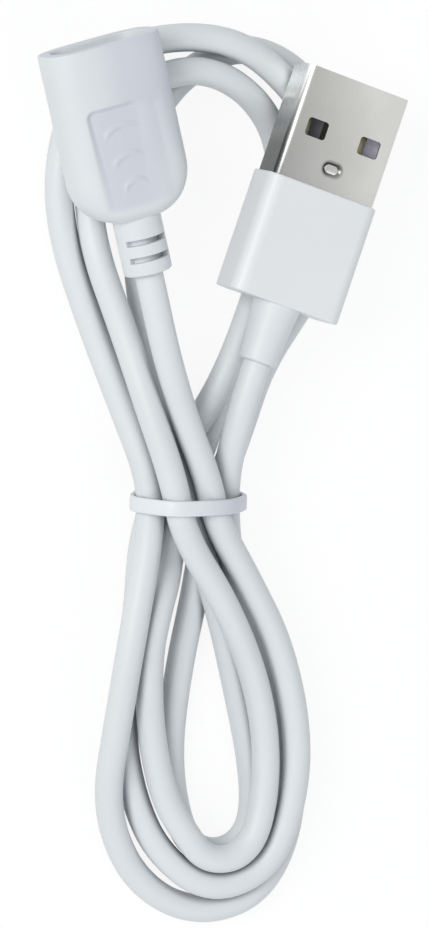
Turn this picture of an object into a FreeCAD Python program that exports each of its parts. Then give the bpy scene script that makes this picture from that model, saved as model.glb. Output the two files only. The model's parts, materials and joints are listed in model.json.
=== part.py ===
import FreeCAD, Part
import math
import os

os.makedirs("parts", exist_ok=True)
V = FreeCAD.Vector

# All lengths in millimetres. X runs across the hank, Y along it towards both connectors, Z up from the table.

# Driving dimensions of the cord and of the band round the waist of the hank
CORD_D = 3.1
BORE_GAP = 0.05
CORNER_SHARE = 0.45
TIE_Y = -2.2
TIE_WIDTH = 1.7
TIE_THICK = 0.6
TIE_EDGE = 0.15

# Driving dimensions of the metal plug, measured from the line where the metal leaves the cover
SHELL_W = 12.0
SHELL_H = 4.5
SHELL_WALL = 0.3
SHELL_CORNER_R = 0.6
SHELL_OUT = 12.4
SHELL_IN = 6.0
WINDOW_X = 3.3
WINDOW_FROM_TIP = 6.4
WINDOW_W = 2.5
WINDOW_L = 2.0
DIMPLE_FROM_TIP = 10.0
DIMPLE_W = 2.3
DIMPLE_L = 1.5
DIMPLE_DEPTH = 0.12
SEAM_W = 0.12
COVER_W = 13.6
COVER_H = 6.2
COVER_L = 13.3
COVER_CORNER_R = 1.6
COVER_RIM = 0.2
COVER_BACK_WALL = 1.8
COLLAR_TOP_D = 5.4
COLLAR_END_D = 4.2
COLLAR_L = 6.6
COLLAR_NECK_D = 5.0
COLLAR_END_RIM = 0.25
PLUG_NOSE = 15.85
TONGUE_TOP = -0.1
TONGUE_SETBACK = 1.0
TONGUE_BASE = 1.0
CONTACT_W = 1.0
CONTACT_T = 0.25
CONTACT_PITCH = 2.5
CONTACT_OUTER_X = 3.5
CONTACT_TAIL = 0.8
CONTACT_LUG = 2.0
CONTACT_LUG_L = 0.8
CONTACT_SETBACK = 2.0
CONTACT_STAGGER = 1.0
WIRE_D = 0.9
WIRE_X = 0.75

# Driving dimensions of the oval connector, measured back from its mouth
SOCKET_W = 13.2
SOCKET_H = 7.6
SOCKET_CORNER_R = 3.4
SOCKET_L = 19.5
SHOULDER_R = 5.2
SHOULDER_SIDE_R = 2.2
SOCKET_RIM = 0.25
MOUTH_W = 10.7
MOUTH_H = 5.0
MOUTH_CORNER_R = 2.3
MOUTH_DEPTH = 6.0
POCKET_DEPTH = 15.0
RELIEF_D = 5.3
RELIEF_END = 25.5
RELIEF_END_RIM = 0.25
SLOT_AT = (21.8, 23.7)
SLOT_TALL = 0.65
SLOT_FLOOR_R = 1.85
SLOT_HALF_SPAN = 2.3
SOCKET_NOSE = 23.7
GRIP_W = 8.9
GRIP_FRONT = 6.8
GRIP_BACK = 18.2
GRIP_CORNER_R = 1.6
GRIP_DEPTH_FRONT = 0.5
GRIP_DEPTH_BACK = 0.2
RIB_W = 0.8
RIB_TALL = 0.3
RIBS = ((9.3, 4.8, 1.0), (12.4, 4.2, 1.0), (15.2, 3.0, 0.8))
INSERT_L = 4.0
SLEEVE_D = 2.8
SLEEVE_BORE_D = 2.0
SLEEVE_DEPTH = 4.0
SLEEVE_TAIL = 1.0
SLEEVE_X = 3.0
SLEEVE_LUG_L = 0.5
SLEEVE_LUG_T = 1.0

# Corner points of the cord's route, from the plug round both loops to the oval connector. Each corner is
# rounded by an arc that takes CORNER_SHARE of the shorter run beside it.
ROUTE = [
    # from the plug down to the band
    (6.1, 17.3, 9.1), (3.83, 10.62, 9.1), (2.9, 5.0, 7.8), (2.7, 0.8, 6.3), (2.9, -4.0, 5.9),
    # outer lower loop, right side
    (4.65, -10.0, 3.8), (8.9, -17.5, 1.7), (12.5, -25.5, 1.6), (14.1, -34.0, 1.6),
    (13.1, -42.0, 1.6),
    # outer lower loop, bottom
    (9.6, -47.3, 1.6), (3.9, -48.9, 1.6), (-1.9, -47.2, 1.6), (-6.5, -42.6, 1.7),
    # outer lower loop, left side
    (-9.3, -35.4, 3.0), (-8.9, -26.7, 5.0), (-8.0, -17.0, 6.4), (-6.45, -9.0, 5.9),
    # up the left flank
    (-5.8, -4.0, 5.7), (-6.1, 1.0, 5.4), (-8.5, 8.0, 3.5), (-12.0, 17.6, 1.7), (-15.5, 27.0, 1.6),
    (-16.1, 35.0, 1.6),
    # over the top, outer turn
    (-13.7, 42.6, 1.7), (-8.4, 47.5, 2.4), (-1.9, 48.7, 3.8), (3.8, 47.8, 5.0), (8.95, 44.15, 5.0),
    (13.6, 38.4, 5.2),
    # down under the plug, right lane
    (18.1, 32.5, 3.9), (17.5, 25.5, 1.7), (13.0, 18.6, 1.6), (8.6, 12.2, 1.6), (6.3, 5.5, 1.8),
    (4.1, 0.5, 2.5), (2.1, -4.5, 2.5),
    # inner lower loop, resting on the table
    (1.55, -12.0, 1.6), (-0.4, -21.4, 1.6), (-1.4, -30.9, 1.6), (0.05, -38.8, 1.6),
    (2.5, -42.0, 1.6), (6.5, -42.1, 1.6), (9.1, -39.2, 1.6),
    (8.95, -33.0, 1.6), (6.75, -24.0, 1.7), (3.0, -14.0, 4.6), (-0.85, -5.5, 6.0),
    # up the middle, under the later turns
    (-3.0, 1.4, 6.4), (-4.7, 7.2, 4.8), (-5.4, 16.4, 1.7), (-6.7, 25.0, 1.6), (-7.3, 33.0, 1.6),
    # over the top, resting on the table
    (-5.1, 40.4, 1.6), (-0.4, 45.3, 1.6), (5.5, 47.6, 1.6), (11.7, 45.2, 1.6), (14.95, 40.6, 1.6),
    # down under the plug, middle lane
    (14.7, 34.0, 1.6), (13.2, 26.4, 1.6), (8.8, 18.3, 1.6), (4.7, 12.0, 1.6), (2.5, 5.5, 1.7),
    (0.4, 0.5, 2.5), (-1.4, -4.5, 2.5),
    # inner lower loop, upper turn
    (-2.1, -8.3, 2.5), (-3.0, -11.0, 3.9), (-4.35, -14.5, 4.75), (-5.3, -19.5, 4.75), (-4.7, -27.5, 4.2),
    (-3.1, -35.0, 4.7),
    (-0.6, -39.0, 4.9), (1.9, -42.2, 4.9), (5.8, -42.4, 4.9), (8.5, -39.3, 4.9),
    (9.3, -31.0, 4.9), (7.3, -22.2, 5.7), (2.1, -13.0, 8.5),
    # up the left, second strand
    (-3.2, -5.5, 8.9), (-4.7, 0.8, 9.0), (-6.9, 7.5, 7.9), (-9.35, 16.7, 5.1), (-12.7, 25.8, 3.9),
    (-12.7, 33.5, 1.7),
    # over the top, inner turn
    (-11.1, 39.9, 2.0), (-6.5, 44.0, 3.9), (-0.6, 45.3, 5.1), (5.35, 42.45, 4.6), (9.8, 37.0, 2.6),
    # down under the plug, left lane
    (10.4, 29.0, 1.6), (6.5, 19.6, 4.0), (3.2, 12.2, 5.0), (0.4, 6.8, 4.3), (-3.1, 1.3, 2.45),
    (-4.85, -4.5, 2.5),
    # middle lower loop
    (-5.25, -8.5, 1.65), (-5.4, -13.6, 1.6), (-6.1, -19.5, 1.6), (-7.0, -28.0, 1.6), (-5.55, -35.4, 1.8),
    (-3.0, -41.5, 3.0),
    (3.0, -46.2, 3.8), (10.0, -44.1, 3.8), (12.5, -37.0, 4.8), (13.0, -28.8, 4.9),
    (10.0, -18.4, 5.9), (4.6, -10.0, 7.8),
    # up to the oval connector
    (0.8, -4.2, 8.5), (-0.6, 1.0, 8.7), (-3.4, 7.4, 8.6), (-5.95, 14.6, 9.0), (-7.52, 20.71, 9.0),
    (-8.72, 25.25, 9.0),
]

# Centres that the band is drawn round, across the hank and up, in order round the bundle
TIE_CENTRES = [(-4.5, 2.4), (3.55, 2.4), (3.2, 6.1), (0.65, 8.65), (-4.3, 9.0), (-6.1, 5.55)]

CORD_R = CORD_D / 2
BORE_R = CORD_R + BORE_GAP


def unit(vector):
    return vector / vector.Length


def rounded_path(points):
    """Straight runs joined by tangent arcs, with the arc radii and the whole length."""
    edges = []
    radii = []
    start = points[0]
    for before, corner, after in zip(points, points[1:], points[2:]):
        back = unit(before - corner)
        ahead = unit(after - corner)
        half_turn = (math.pi - back.getAngle(ahead)) / 2
        reach = CORNER_SHARE * min((before - corner).Length, (after - corner).Length)
        radius = reach / math.tan(half_turn)
        inward = unit(back + ahead)
        middle = corner + inward * (radius / math.cos(half_turn) - radius)
        arc_start = corner + back * reach
        arc_end = corner + ahead * reach
        edges.append(Part.LineSegment(start, arc_start).toShape())
        edges.append(Part.Arc(arc_start, middle, arc_end).toShape())
        radii.append(radius)
        start = arc_end
    edges.append(Part.LineSegment(start, points[-1]).toShape())
    length = sum(edge.Length for edge in edges)
    return Part.Wire(edges), radii, length


def tube(points, radius):
    """Solid round rod along a rounded path."""
    path, radii, length = rounded_path(points)
    ring = Part.Wire([Part.Circle(points[0], points[1] - points[0], radius).toShape()])
    sweep = Part.BRepOffsetAPI.MakePipeShell(path)
    sweep.add(ring)
    sweep.build()
    sweep.makeSolid()
    return sweep.shape(), radii, length


def rounded_bar(width, height, corner_r, y_start, y_end):
    """Bar along Y with a rounded rectangular section."""
    bar = Part.makeBox(width, y_end - y_start, height, V(-width / 2, y_start, -height / 2))
    long_edges = [e for e in bar.Edges if abs(e.Vertexes[0].Y - e.Vertexes[1].Y) > 0.001]
    return bar.makeFillet(corner_r, long_edges)


def rod(radius, y_start, y_end, x=0.0, z=0.0):
    """Round rod along Y."""
    return Part.makeCylinder(radius, y_end - y_start, V(x, y_start, z), V(0, 1, 0))


def edges_at(shape, y):
    """Edges that lie wholly in the plane at y."""
    found = []
    for edge in shape.Edges:
        box = edge.BoundBox
        if abs(box.YMin - y) < 0.001 and abs(box.YMax - y) < 0.001:
            found.append(edge)
    return found


def cut_all(shape, tools):
    for tool in tools:
        shape = shape.cut(tool)
    return shape


def stadium(width, length, z_start, z_end, y):
    """Upright prism with an oval outline, wider across X, centred on y."""
    end_r = length / 2
    half = width / 2 - end_r
    tall = z_end - z_start
    middle = Part.makeBox(2 * half, length, tall, V(-half, y - end_r, z_start))
    left = Part.makeCylinder(end_r, tall, V(-half, y, z_start))
    right = Part.makeCylinder(end_r, tall, V(half, y, z_start))
    return middle.fuse([left, right]).removeSplitter()


# Plug pieces, in the plug's own frame: +Y leaves the tip, Y = 0 is where metal leaves the cover

tip = SHELL_OUT
pocket_end = -(COVER_L - COVER_BACK_WALL)
inner_w = SHELL_W - 2 * SHELL_WALL
inner_h = SHELL_H - 2 * SHELL_WALL

shell_solid = rounded_bar(SHELL_W, SHELL_H, SHELL_CORNER_R, -SHELL_IN, tip)
shell_space = rounded_bar(inner_w, inner_h, SHELL_CORNER_R - SHELL_WALL, -SHELL_IN - 1, tip + 1)
plug_shell = shell_solid.cut(shell_space)
windows = []
for side in (-1, 1):
    corner = V(side * WINDOW_X - WINDOW_W / 2, tip - WINDOW_FROM_TIP - WINDOW_L / 2, -SHELL_H)
    windows.append(Part.makeBox(WINDOW_W, WINDOW_L, 2 * SHELL_H, corner))
dimple_floor = SHELL_H / 2 - DIMPLE_DEPTH
dimple = stadium(DIMPLE_W, DIMPLE_L, dimple_floor, SHELL_H, tip - DIMPLE_FROM_TIP)
seam_corner = V(-SEAM_W / 2, -SHELL_IN - 1, -SHELL_H)
seam = Part.makeBox(SEAM_W, tip + SHELL_IN + 2, SHELL_H, seam_corner)
plug_shell = cut_all(plug_shell, windows + [dimple, seam])

cover_solid = rounded_bar(COVER_W, COVER_H, COVER_CORNER_R, -COVER_L, 0)
cover_rims = edges_at(cover_solid, 0) + edges_at(cover_solid, -COVER_L)
cover_solid = cover_solid.makeChamfer(COVER_RIM, cover_rims)
cover_pocket = rounded_bar(SHELL_W, SHELL_H, SHELL_CORNER_R, pocket_end, 1)
neck_hole = rod(COLLAR_NECK_D / 2, -COVER_L - 1, pocket_end)
plug_cover = cut_all(cover_solid, [cover_pocket, neck_hole])

collar_end = -COVER_L - COLLAR_L
collar_cone = Part.makeCone(
    COLLAR_END_D / 2, COLLAR_TOP_D / 2, COLLAR_L, V(0, collar_end, 0), V(0, 1, 0)
)
collar_cone = collar_cone.makeChamfer(COLLAR_END_RIM, edges_at(collar_cone, collar_end))
collar_neck = rod(COLLAR_NECK_D / 2, -COVER_L, pocket_end)
collar_bore = rod(BORE_R, collar_end - 1, pocket_end + 1)
plug_strain_relief = collar_cone.fuse(collar_neck).cut(collar_bore)

contact_z = TONGUE_TOP - CONTACT_T
tail_end = -SHELL_IN - CONTACT_TAIL
lug_end = -SHELL_IN - CONTACT_LUG
inner_x = CONTACT_OUTER_X - CONTACT_PITCH


def contact_strip(x, reach, end):
    return Part.makeBox(CONTACT_W, reach - end, CONTACT_T, V(x - CONTACT_W / 2, end, contact_z))


def supply_contact(side, reach):
    """Outer contact, with a lug that turns in behind the data contacts to meet its conductor."""
    strip = contact_strip(side * CONTACT_OUTER_X, reach, lug_end)
    lug_w = CONTACT_OUTER_X - WIRE_X + CONTACT_W / 2
    lug_x = WIRE_X - CONTACT_W / 2 if side > 0 else -CONTACT_OUTER_X
    lug = Part.makeBox(lug_w, CONTACT_LUG_L, CONTACT_T, V(lug_x, lug_end, contact_z))
    return strip.fuse(lug).removeSplitter()


outer_reach = tip - CONTACT_SETBACK
inner_reach = outer_reach - CONTACT_STAGGER
plug_contact_power = supply_contact(1, outer_reach)
plug_contact_data_minus = contact_strip(inner_x, inner_reach, tail_end)
plug_contact_data_plus = contact_strip(-inner_x, inner_reach, tail_end)
plug_contact_ground = supply_contact(-1, outer_reach)
plug_contacts = [plug_contact_power, plug_contact_data_minus, plug_contact_data_plus, plug_contact_ground]

inside_r = SHELL_CORNER_R - SHELL_WALL
insulator_bar = rounded_bar(inner_w, inner_h, inside_r, -SHELL_IN, tip - TONGUE_SETBACK)
cavity_l = tip + TONGUE_BASE
cavity = Part.makeBox(SHELL_W, cavity_l, SHELL_H, V(-SHELL_W / 2, -TONGUE_BASE, TONGUE_TOP))
plug_insulator = cut_all(insulator_bar, [cavity] + plug_contacts)


wire_z = contact_z + CONTACT_T / 2
plug_wire_power = rod(WIRE_D / 2, -PLUG_NOSE, lug_end, WIRE_X, wire_z)
plug_wire_ground = rod(WIRE_D / 2, -PLUG_NOSE, lug_end, -WIRE_X, wire_z)

mould_block = rounded_bar(SHELL_W, SHELL_H, SHELL_CORNER_R, pocket_end, -SHELL_IN)
mould_nose = rod(CORD_R, -PLUG_NOSE, pocket_end)
mould_solid = mould_block.fuse(mould_nose)
plug_inner_mould = cut_all(mould_solid, plug_contacts + [plug_wire_power, plug_wire_ground])

# Oval connector pieces, in its own frame: +Y leaves the mouth, Y = 0 is the mouth

socket_bar = rounded_bar(SOCKET_W, SOCKET_H, SOCKET_CORNER_R, -SOCKET_L, 0)
socket_bar = socket_bar.makeChamfer(SOCKET_RIM, edges_at(socket_bar, 0))
plan_corner = V(-SOCKET_W / 2, -SOCKET_L, -SOCKET_H)
plan_block = Part.makeBox(SOCKET_W, SOCKET_L + 1, 2 * SOCKET_H, plan_corner)
plan_edges = [
    e for e in plan_block.Edges
    if abs(e.Vertexes[0].Z - e.Vertexes[1].Z) > 0.001 and e.Vertexes[0].Y < 0
]
plan_block = plan_block.makeFillet(SHOULDER_R, plan_edges)
side_corner = V(-SOCKET_W, -SOCKET_L, -SOCKET_H / 2)
side_block = Part.makeBox(2 * SOCKET_W, SOCKET_L + 1, SOCKET_H, side_corner)
side_edges = [
    e for e in side_block.Edges
    if abs(e.Vertexes[0].X - e.Vertexes[1].X) > 0.001 and e.Vertexes[0].Y < 0
]
side_block = side_block.makeFillet(SHOULDER_SIDE_R, side_edges)
socket_body = socket_bar.common(plan_block).common(side_block)

relief_rod = rod(RELIEF_D / 2, -RELIEF_END, -POCKET_DEPTH - 1)
relief_rod = relief_rod.makeChamfer(RELIEF_END_RIM, edges_at(relief_rod, -RELIEF_END))
slots = []
for slot_at in SLOT_AT:
    slot_start = -slot_at - SLOT_TALL / 2
    slot_ring = rod(RELIEF_D, slot_start, slot_start + SLOT_TALL)
    slot_ring = slot_ring.cut(rod(SLOT_FLOOR_R, slot_start - 1, slot_start + SLOT_TALL + 1))
    slot_corner = V(-SLOT_HALF_SPAN, slot_start - 1, -RELIEF_D)
    slot_span = Part.makeBox(2 * SLOT_HALF_SPAN, SLOT_TALL + 2, 2 * RELIEF_D, slot_corner)
    slots.append(slot_ring.common(slot_span))
relief_rod = cut_all(relief_rod, slots)

socket_top = SOCKET_H / 2
grip_l = GRIP_BACK - GRIP_FRONT
grip_tilt = math.degrees(math.atan2(GRIP_DEPTH_FRONT - GRIP_DEPTH_BACK, grip_l))
front_floor = V(0, -GRIP_FRONT, socket_top - GRIP_DEPTH_FRONT)
grip_tool = Part.makeBox(GRIP_W, grip_l, 2.0, V(-GRIP_W / 2, -grip_l, 0))
grip_uprights = [e for e in grip_tool.Edges if abs(e.Vertexes[0].Z - e.Vertexes[1].Z) > 0.001]
grip_tool = grip_tool.makeFillet(GRIP_CORNER_R, grip_uprights)


def seat_on_grip(shape):
    """Tilts a shape drawn on a level floor onto the sloping floor of the grip panel."""
    shape.rotate(V(0, 0, 0), V(1, 0, 0), -grip_tilt)
    shape.translate(front_floor)
    return shape


def rib(apex, span, sag):
    """Curved rib that bows towards the mouth, its crown at apex."""
    bow_r = (span * span / 4 + sag * sag) / (2 * sag)
    half_angle = math.degrees(math.asin(span / 2 / bow_r))
    centre = V(0, GRIP_FRONT - apex - bow_r + RIB_W / 2, -RIB_TALL)
    outer = Part.makeCylinder(bow_r + RIB_W / 2, 2 * RIB_TALL, centre, V(0, 0, 1), 2 * half_angle)
    inner = Part.makeCylinder(bow_r - RIB_W / 2, 2 * RIB_TALL, centre, V(0, 0, 1), 360)
    outer.rotate(centre, V(0, 0, 1), 90 - half_angle)
    return outer.cut(inner)


grip_recess = seat_on_grip(grip_tool)
ribs = [seat_on_grip(rib(apex, span, sag)) for apex, span, sag in RIBS]
socket_shape = socket_body.cut(grip_recess).fuse([relief_rod] + ribs)
socket_pocket = rounded_bar(MOUTH_W, MOUTH_H, MOUTH_CORNER_R, -POCKET_DEPTH, 1)
socket_bore = rod(BORE_R, -RELIEF_END - 1, -POCKET_DEPTH + 1)
socket_overmould = cut_all(socket_shape, [socket_pocket, socket_bore])

insert_back = -MOUTH_DEPTH - INSERT_L
sleeve_back = insert_back - SLEEVE_TAIL


lug_back = sleeve_back - SLEEVE_LUG_L


def sleeve_lug(side):
    """Lug behind a sleeve that reaches in to its conductor."""
    lug_w = SLEEVE_X - WIRE_X + WIRE_D / 2
    lug_x = WIRE_X - WIRE_D / 2 if side > 0 else -SLEEVE_X
    return Part.makeBox(lug_w, SLEEVE_LUG_L, SLEEVE_LUG_T, V(lug_x, lug_back, -SLEEVE_LUG_T / 2))


def sleeve(side):
    body = rod(SLEEVE_D / 2, sleeve_back, -MOUTH_DEPTH, side * SLEEVE_X)
    hole = rod(SLEEVE_BORE_D / 2, -MOUTH_DEPTH - SLEEVE_DEPTH, 0, side * SLEEVE_X)
    return body.fuse(sleeve_lug(side)).cut(hole)


def sleeve_space(side):
    return rod(SLEEVE_D / 2, sleeve_back, 0, side * SLEEVE_X)


socket_contact_power = sleeve(1)
socket_contact_ground = sleeve(-1)
insert_bar = rounded_bar(MOUTH_W, MOUTH_H, MOUTH_CORNER_R, insert_back, -MOUTH_DEPTH)
socket_insert = cut_all(insert_bar, [sleeve_space(1), sleeve_space(-1)])

socket_wire_power = rod(WIRE_D / 2, -SOCKET_NOSE, lug_back, WIRE_X)
socket_wire_ground = rod(WIRE_D / 2, -SOCKET_NOSE, lug_back, -WIRE_X)
back_block = rounded_bar(MOUTH_W, MOUTH_H, MOUTH_CORNER_R, -POCKET_DEPTH, insert_back)
back_nose = rod(CORD_R, -SOCKET_NOSE, -POCKET_DEPTH)
back_tools = [sleeve_space(1), sleeve_space(-1), sleeve_lug(1), sleeve_lug(-1)]
back_tools += [socket_wire_power, socket_wire_ground]
socket_inner_mould = cut_all(back_block.fuse(back_nose), back_tools)

# Cord and band, in the frame of the whole part

route_points = [V(*point) for point in ROUTE]
cable_jacket, cord_radii, cord_length = tube(route_points, CORD_R)
section_volume = math.pi * CORD_R * CORD_R * cord_length
print("cord length %.1f, volume over section times length %.5f" % (
    cord_length, cable_jacket.Volume / section_volume))
print("corner radii, smallest first", [round(r, 1) for r in sorted(cord_radii)[:12]])


def belt(radius):
    """Filled outline at a distance from the band's centres, as a slab of the band's width."""
    centres = [V(x, TIE_Y - TIE_WIDTH / 2, z) for x, z in TIE_CENTRES]
    count = len(centres)
    normals = []
    for index in range(count):
        run = unit(centres[(index + 1) % count] - centres[index])
        normals.append(V(run.z, 0, -run.x))
    edges = []
    for index in range(count):
        here = centres[index]
        there = centres[(index + 1) % count]
        normal = normals[index]
        next_normal = normals[(index + 1) % count]
        edges.append(Part.LineSegment(here + normal * radius, there + normal * radius).toShape())
        middle = there + unit(normal + next_normal) * radius
        edges.append(Part.Arc(there + normal * radius, middle, there + next_normal * radius).toShape())
    return Part.Face(Part.Wire(edges)).extrude(V(0, TIE_WIDTH, 0))


cable_tie = belt(BORE_R + TIE_THICK)
tie_rims = edges_at(cable_tie, TIE_Y - TIE_WIDTH / 2) + edges_at(cable_tie, TIE_Y + TIE_WIDTH / 2)
cable_tie = cable_tie.makeChamfer(TIE_EDGE, tie_rims).cut(belt(BORE_R))


def place(shape, end, before, reach):
    """Moves a connector from its own frame to the end of the cord, reach ahead of the cord's face."""
    ahead = unit(end - before)
    turn = math.degrees(math.atan2(-ahead.x, ahead.y))
    shape.rotate(V(0, 0, 0), V(0, 0, 1), turn)
    shape.translate(end + ahead * reach)
    return shape


plug_nodes = {
    "plug_cover": plug_cover,
    "plug_strain_relief": plug_strain_relief,
    "plug_shell": plug_shell,
    "plug_insulator": plug_insulator,
    "plug_contact_power": plug_contact_power,
    "plug_contact_data_minus": plug_contact_data_minus,
    "plug_contact_data_plus": plug_contact_data_plus,
    "plug_contact_ground": plug_contact_ground,
    "plug_inner_mould": plug_inner_mould,
    "plug_wire_power": plug_wire_power,
    "plug_wire_ground": plug_wire_ground,
}
socket_nodes = {
    "socket_overmould": socket_overmould,
    "socket_insert": socket_insert,
    "socket_contact_power": socket_contact_power,
    "socket_contact_ground": socket_contact_ground,
    "socket_inner_mould": socket_inner_mould,
    "socket_wire_power": socket_wire_power,
    "socket_wire_ground": socket_wire_ground,
}
nodes = {"cable_jacket": cable_jacket, "cable_tie": cable_tie}
for name, shape in plug_nodes.items():
    nodes[name] = place(shape, route_points[0], route_points[1], PLUG_NOSE)
for name, shape in socket_nodes.items():
    nodes[name] = place(shape, route_points[-1], route_points[-2], SOCKET_NOSE)

for name, shape in nodes.items():
    solid = shape.Solids[0]
    print("%-24s valid %s, solids %d, volume %.2f" % (name, shape.isValid(), len(shape.Solids), solid.Volume))
    solid.exportStep("parts/%s.step" % name)
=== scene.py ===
# %% [markdown]
# # A tied charging cable
#
# The object is a hank of round white cord with a flat metal plug in a white cover at one end, an oval
# moulded connector at the other, and a plastic band round its waist. The CAD model already has every
# piece in its place, so this lesson only dresses it: it gives each visible piece a finer mesh and each
# finish a material of its own. Lengths below are in millimetres, and meshes become metres at the end.

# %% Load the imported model
import json
import math

import bmesh
import bpy
from mathutils import Matrix, Vector


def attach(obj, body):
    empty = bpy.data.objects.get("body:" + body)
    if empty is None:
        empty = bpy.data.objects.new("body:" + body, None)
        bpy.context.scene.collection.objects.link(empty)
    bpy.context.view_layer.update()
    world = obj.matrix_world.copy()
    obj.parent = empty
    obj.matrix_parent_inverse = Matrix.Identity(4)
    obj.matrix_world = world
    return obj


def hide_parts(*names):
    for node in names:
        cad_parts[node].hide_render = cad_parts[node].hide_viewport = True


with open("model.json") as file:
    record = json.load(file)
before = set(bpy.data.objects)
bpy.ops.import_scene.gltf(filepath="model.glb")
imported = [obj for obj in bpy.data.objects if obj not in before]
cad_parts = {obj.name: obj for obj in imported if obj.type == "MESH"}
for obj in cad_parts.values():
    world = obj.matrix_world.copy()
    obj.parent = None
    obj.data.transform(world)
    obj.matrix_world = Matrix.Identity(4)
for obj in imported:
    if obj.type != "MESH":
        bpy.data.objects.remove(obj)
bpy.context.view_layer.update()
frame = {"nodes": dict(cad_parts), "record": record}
MM = 0.001

# %% [markdown]
# ## The route of the cord
#
# On the real thing the cord is wound into loops above and below the band, and its two ends lie on top.
# A route can be drawn by hand in the viewport or listed as points. It is listed here, because the CAD
# model uses the same points, and the two then stay in step. The turns are told apart by the comments.

# %% The route's points, from the plug to the oval connector
ROUTE = [
    # from the plug down to the band
    (6.1, 17.3, 9.1), (3.83, 10.62, 9.1), (2.9, 5.0, 7.8), (2.7, 0.8, 6.3), (2.9, -4.0, 5.9),
    # outer lower loop, right side
    (4.65, -10.0, 3.8), (8.9, -17.5, 1.7), (12.5, -25.5, 1.6), (14.1, -34.0, 1.6),
    (13.1, -42.0, 1.6),
    # outer lower loop, bottom
    (9.6, -47.3, 1.6), (3.9, -48.9, 1.6), (-1.9, -47.2, 1.6), (-6.5, -42.6, 1.7),
    # outer lower loop, left side
    (-9.3, -35.4, 3.0), (-8.9, -26.7, 5.0), (-8.0, -17.0, 6.4), (-6.45, -9.0, 5.9),
    # up the left flank
    (-5.8, -4.0, 5.7), (-6.1, 1.0, 5.4), (-8.5, 8.0, 3.5), (-12.0, 17.6, 1.7), (-15.5, 27.0, 1.6),
    (-16.1, 35.0, 1.6),
    # over the top, outer turn
    (-13.7, 42.6, 1.7), (-8.4, 47.5, 2.4), (-1.9, 48.7, 3.8), (3.8, 47.8, 5.0), (8.95, 44.15, 5.0),
    (13.6, 38.4, 5.2),
    # down under the plug, right lane
    (18.1, 32.5, 3.9), (17.5, 25.5, 1.7), (13.0, 18.6, 1.6), (8.6, 12.2, 1.6), (6.3, 5.5, 1.8),
    (4.1, 0.5, 2.5), (2.1, -4.5, 2.5),
    # inner lower loop, resting on the table
    (1.55, -12.0, 1.6), (-0.4, -21.4, 1.6), (-1.4, -30.9, 1.6), (0.05, -38.8, 1.6),
    (2.5, -42.0, 1.6), (6.5, -42.1, 1.6), (9.1, -39.2, 1.6),
    (8.95, -33.0, 1.6), (6.75, -24.0, 1.7), (3.0, -14.0, 4.6), (-0.85, -5.5, 6.0),
    # up the middle, under the later turns
    (-3.0, 1.4, 6.4), (-4.7, 7.2, 4.8), (-5.4, 16.4, 1.7), (-6.7, 25.0, 1.6), (-7.3, 33.0, 1.6),
    # over the top, resting on the table
    (-5.1, 40.4, 1.6), (-0.4, 45.3, 1.6), (5.5, 47.6, 1.6), (11.7, 45.2, 1.6), (14.95, 40.6, 1.6),
    # down under the plug, middle lane
    (14.7, 34.0, 1.6), (13.2, 26.4, 1.6), (8.8, 18.3, 1.6), (4.7, 12.0, 1.6), (2.5, 5.5, 1.7),
    (0.4, 0.5, 2.5), (-1.4, -4.5, 2.5),
    # inner lower loop, upper turn
    (-2.1, -8.3, 2.5), (-3.0, -11.0, 3.9), (-4.35, -14.5, 4.75), (-5.3, -19.5, 4.75), (-4.7, -27.5, 4.2),
    (-3.1, -35.0, 4.7),
    (-0.6, -39.0, 4.9), (1.9, -42.2, 4.9), (5.8, -42.4, 4.9), (8.5, -39.3, 4.9),
    (9.3, -31.0, 4.9), (7.3, -22.2, 5.7), (2.1, -13.0, 8.5),
    # up the left, second strand
    (-3.2, -5.5, 8.9), (-4.7, 0.8, 9.0), (-6.9, 7.5, 7.9), (-9.35, 16.7, 5.1), (-12.7, 25.8, 3.9),
    (-12.7, 33.5, 1.7),
    # over the top, inner turn
    (-11.1, 39.9, 2.0), (-6.5, 44.0, 3.9), (-0.6, 45.3, 5.1), (5.35, 42.45, 4.6), (9.8, 37.0, 2.6),
    # down under the plug, left lane
    (10.4, 29.0, 1.6), (6.5, 19.6, 4.0), (3.2, 12.2, 5.0), (0.4, 6.8, 4.3), (-3.1, 1.3, 2.45),
    (-4.85, -4.5, 2.5),
    # middle lower loop
    (-5.25, -8.5, 1.65), (-5.4, -13.6, 1.6), (-6.1, -19.5, 1.6), (-7.0, -28.0, 1.6), (-5.55, -35.4, 1.8),
    (-3.0, -41.5, 3.0),
    (3.0, -46.2, 3.8), (10.0, -44.1, 3.8), (12.5, -37.0, 4.8), (13.0, -28.8, 4.9),
    (10.0, -18.4, 5.9), (4.6, -10.0, 7.8),
    # up to the oval connector
    (0.8, -4.2, 8.5), (-0.6, 1.0, 8.7), (-3.4, 7.4, 8.6), (-5.95, 14.6, 9.0), (-7.52, 20.71, 9.0),
    (-8.72, 25.25, 9.0),
]

CORD_D = 3.1
CORD_R = CORD_D / 2
print("route points", len(ROUTE))

# %% [markdown]
# ## Where the two ends lie
#
# Each end is easiest to model upright in a frame of its own, with +Y leaving its open end, and to move
# afterwards. The move goes into the mesh, not the object, so that patterns on Object coordinates stay put.
# The first and last runs of the route give the two directions.

# %% Frames of the plug and of the oval connector
PLUG_NOSE = 15.85
SOCKET_NOSE = 23.7


def end_frame(end, before, reach):
    """Matrix from an end's own frame to the whole part's, both in millimetres."""
    end = Vector(end)
    ahead = (end - Vector(before)).normalized()
    turn = math.atan2(-ahead.x, ahead.y)
    return Matrix.Translation(end + ahead * reach) @ Matrix.Rotation(turn, 4, "Z")


plug_frame = end_frame(ROUTE[0], ROUTE[1], PLUG_NOSE)
socket_frame = end_frame(ROUTE[-1], ROUTE[-2], SOCKET_NOSE)
print("plug at", plug_frame.translation, "connector at", socket_frame.translation)

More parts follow.
